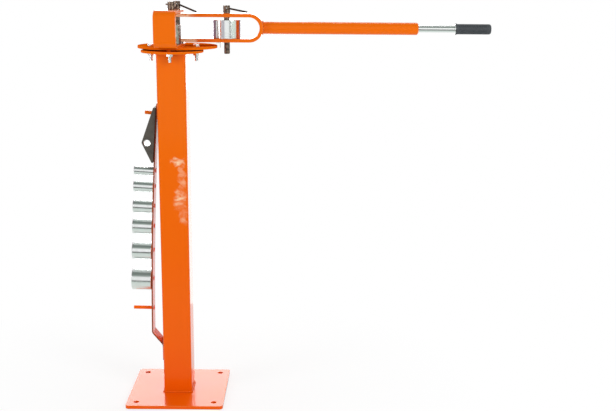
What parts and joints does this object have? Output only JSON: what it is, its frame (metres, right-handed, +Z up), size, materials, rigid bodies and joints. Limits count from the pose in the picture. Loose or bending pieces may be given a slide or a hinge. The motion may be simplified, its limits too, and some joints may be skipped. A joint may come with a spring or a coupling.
{
  "type": "pedestal lever bender",
  "caption": "Floor-standing lever bender: a column on a base plate carries a bending table, a U-shaped frame and a long swing arm with steel dies; spare dies hang on a rack.",
  "frame": {"origin": "underside of the base plate, on the column's axis", "axes": "+Z up along the column, +X along the lever arm at rest, +Y away from the side that the U-frame's closed end faces"},
  "size_m": [1.0135, 0.2945, 1.124],
  "materials": {
    "orange_powder_coat": "glossy powder coat on steel",
    "zinc_plate": "bright zinc plating on turned steel",
    "black_oxide": "black oxide on turned steel",
    "black_paint": "satin black paint on steel",
    "grey_rubber": "moulded dark grey rubber"
  },
  "bodies": {
    "pedestal": {"base_plate": "orange_powder_coat", "column": "orange_powder_coat", "column_flange": "orange_powder_coat", "bending_table": "orange_powder_coat", "flange_bolt_front": "zinc_plate", "flange_bolt_left": "zinc_plate", "flange_bolt_right": "zinc_plate", "flange_nut_front": "zinc_plate", "flange_nut_left": "zinc_plate", "flange_nut_right": "zinc_plate", "u_frame": "orange_powder_coat", "arm_spacer": "zinc_plate", "rack_strap": "orange_powder_coat", "die_peg_1": "orange_powder_coat", "die_peg_2": "orange_powder_coat", "die_peg_3": "orange_powder_coat", "die_peg_4": "orange_powder_coat", "die_peg_5": "orange_powder_coat", "die_peg_6": "orange_powder_coat", "die_peg_7": "orange_powder_coat", "block_peg": "orange_powder_coat"},
    "arm": {"swing_arm": "orange_powder_coat", "angle_pointer": "zinc_plate", "handle_tube": "orange_powder_coat"},
    "handle": {"handle_rod": "zinc_plate", "grip_collar": "zinc_plate", "handle_grip": "grey_rubber"},
    "follower_roller": {"follower_die": "zinc_plate"},
    "fixed_roller": {"fixed_die": "zinc_plate"},
    "centre_pin": {"centre_pin": "black_oxide", "centre_cross_pin": "black_oxide"},
    "centre_lever": {"centre_lever": "black_oxide"},
    "fixed_pin": {"fixed_pin": "black_oxide", "fixed_cross_pin": "black_oxide"},
    "fixed_lever": {"fixed_lever": "black_oxide"},
    "follower_pin": {"follower_pin": "black_oxide", "follower_cross_pin": "black_oxide"},
    "follower_lever": {"follower_lever": "black_oxide"},
    "stored_die_1": {"stored_die_1": "zinc_plate"},
    "stored_die_2": {"stored_die_2": "zinc_plate"},
    "stored_die_3": {"stored_die_3": "zinc_plate"},
    "stored_die_4": {"stored_die_4": "zinc_plate"},
    "stored_die_5": {"stored_die_5": "zinc_plate"},
    "stored_die_6": {"stored_die_6": "zinc_plate"},
    "angle_block": {"angle_block": "black_paint"}
  },
  "joints": [
    {"name": "arm_swing", "type": "hinge", "parent": "pedestal", "child": "arm", "pos_m": [0.009, 0.047, 1.053], "axis": [0, 0, 1], "range_deg": [-34, 205]},
    {"name": "handle_extend", "type": "slide", "parent": "arm", "child": "handle", "axis": [1, 0, 0], "range_m": [-0.098, 0.12]},
    {"name": "follower_die_spin", "type": "hinge", "parent": "arm", "child": "follower_roller", "pos_m": [0.146, 0.047, 1.0495], "axis": [0, 0, 1], "continuous": true},
    {"name": "fixed_die_spin", "type": "hinge", "parent": "pedestal", "child": "fixed_roller", "pos_m": [0.0021, -0.01864, 1.0375], "axis": [0, 0, 1], "continuous": true},
    {"name": "centre_pin_lift", "type": "slide", "parent": "pedestal", "child": "centre_pin", "axis": [0, 0, 1], "range_m": [0, 0.112]},
    {"name": "centre_lever_fold", "type": "hinge", "parent": "centre_pin", "child": "centre_lever", "pos_m": [0.009, 0.047, 1.117], "axis": [0, -1, 0], "range_deg": [0, 124]},
    {"name": "fixed_pin_lift", "type": "slide", "parent": "pedestal", "child": "fixed_pin", "axis": [0, 0, 1], "range_m": [0, 0.112]},
    {"name": "fixed_lever_fold", "type": "hinge", "parent": "fixed_pin", "child": "fixed_lever", "pos_m": [0.0021, -0.01864, 1.117], "axis": [0.9925, 0.1219, 0], "range_deg": [0, 115]},
    {"name": "follower_pin_lift", "type": "slide", "parent": "arm", "child": "follower_pin", "axis": [0, 0, 1], "range_m": [0, 0.112]},
    {"name": "follower_lever_fold", "type": "hinge", "parent": "follower_pin", "child": "follower_lever", "pos_m": [0.146, 0.047, 1.106], "axis": [0, -1, 0], "range_deg": [0, 115]},
    {"name": "stored_die_1_off", "type": "slide", "parent": "pedestal", "child": "stored_die_1", "axis": [-0.9982, 0, 0.0594], "range_m": [0, 0.056]},
    {"name": "stored_die_2_off", "type": "slide", "parent": "pedestal", "child": "stored_die_2", "axis": [-0.9985, 0, 0.0547], "range_m": [0, 0.056]},
    {"name": "stored_die_3_off", "type": "slide", "parent": "pedestal", "child": "stored_die_3", "axis": [-0.9988, 0, 0.0488], "range_m": [0, 0.056]},
    {"name": "stored_die_4_off", "type": "slide", "parent": "pedestal", "child": "stored_die_4", "axis": [-0.9991, 0, 0.0427], "range_m": [0, 0.056]},
    {"name": "stored_die_5_off", "type": "slide", "parent": "pedestal", "child": "stored_die_5", "axis": [-0.9994, 0, 0.0353], "range_m": [0, 0.056]},
    {"name": "stored_die_6_off", "type": "slide", "parent": "pedestal", "child": "stored_die_6", "axis": [-0.9996, 0, 0.0265], "range_m": [0, 0.056]},
    {"name": "angle_block_off", "type": "slide", "parent": "pedestal", "child": "angle_block", "axis": [-0.9971, 0, 0.0761], "range_m": [0, 0.036]}
  ]
}
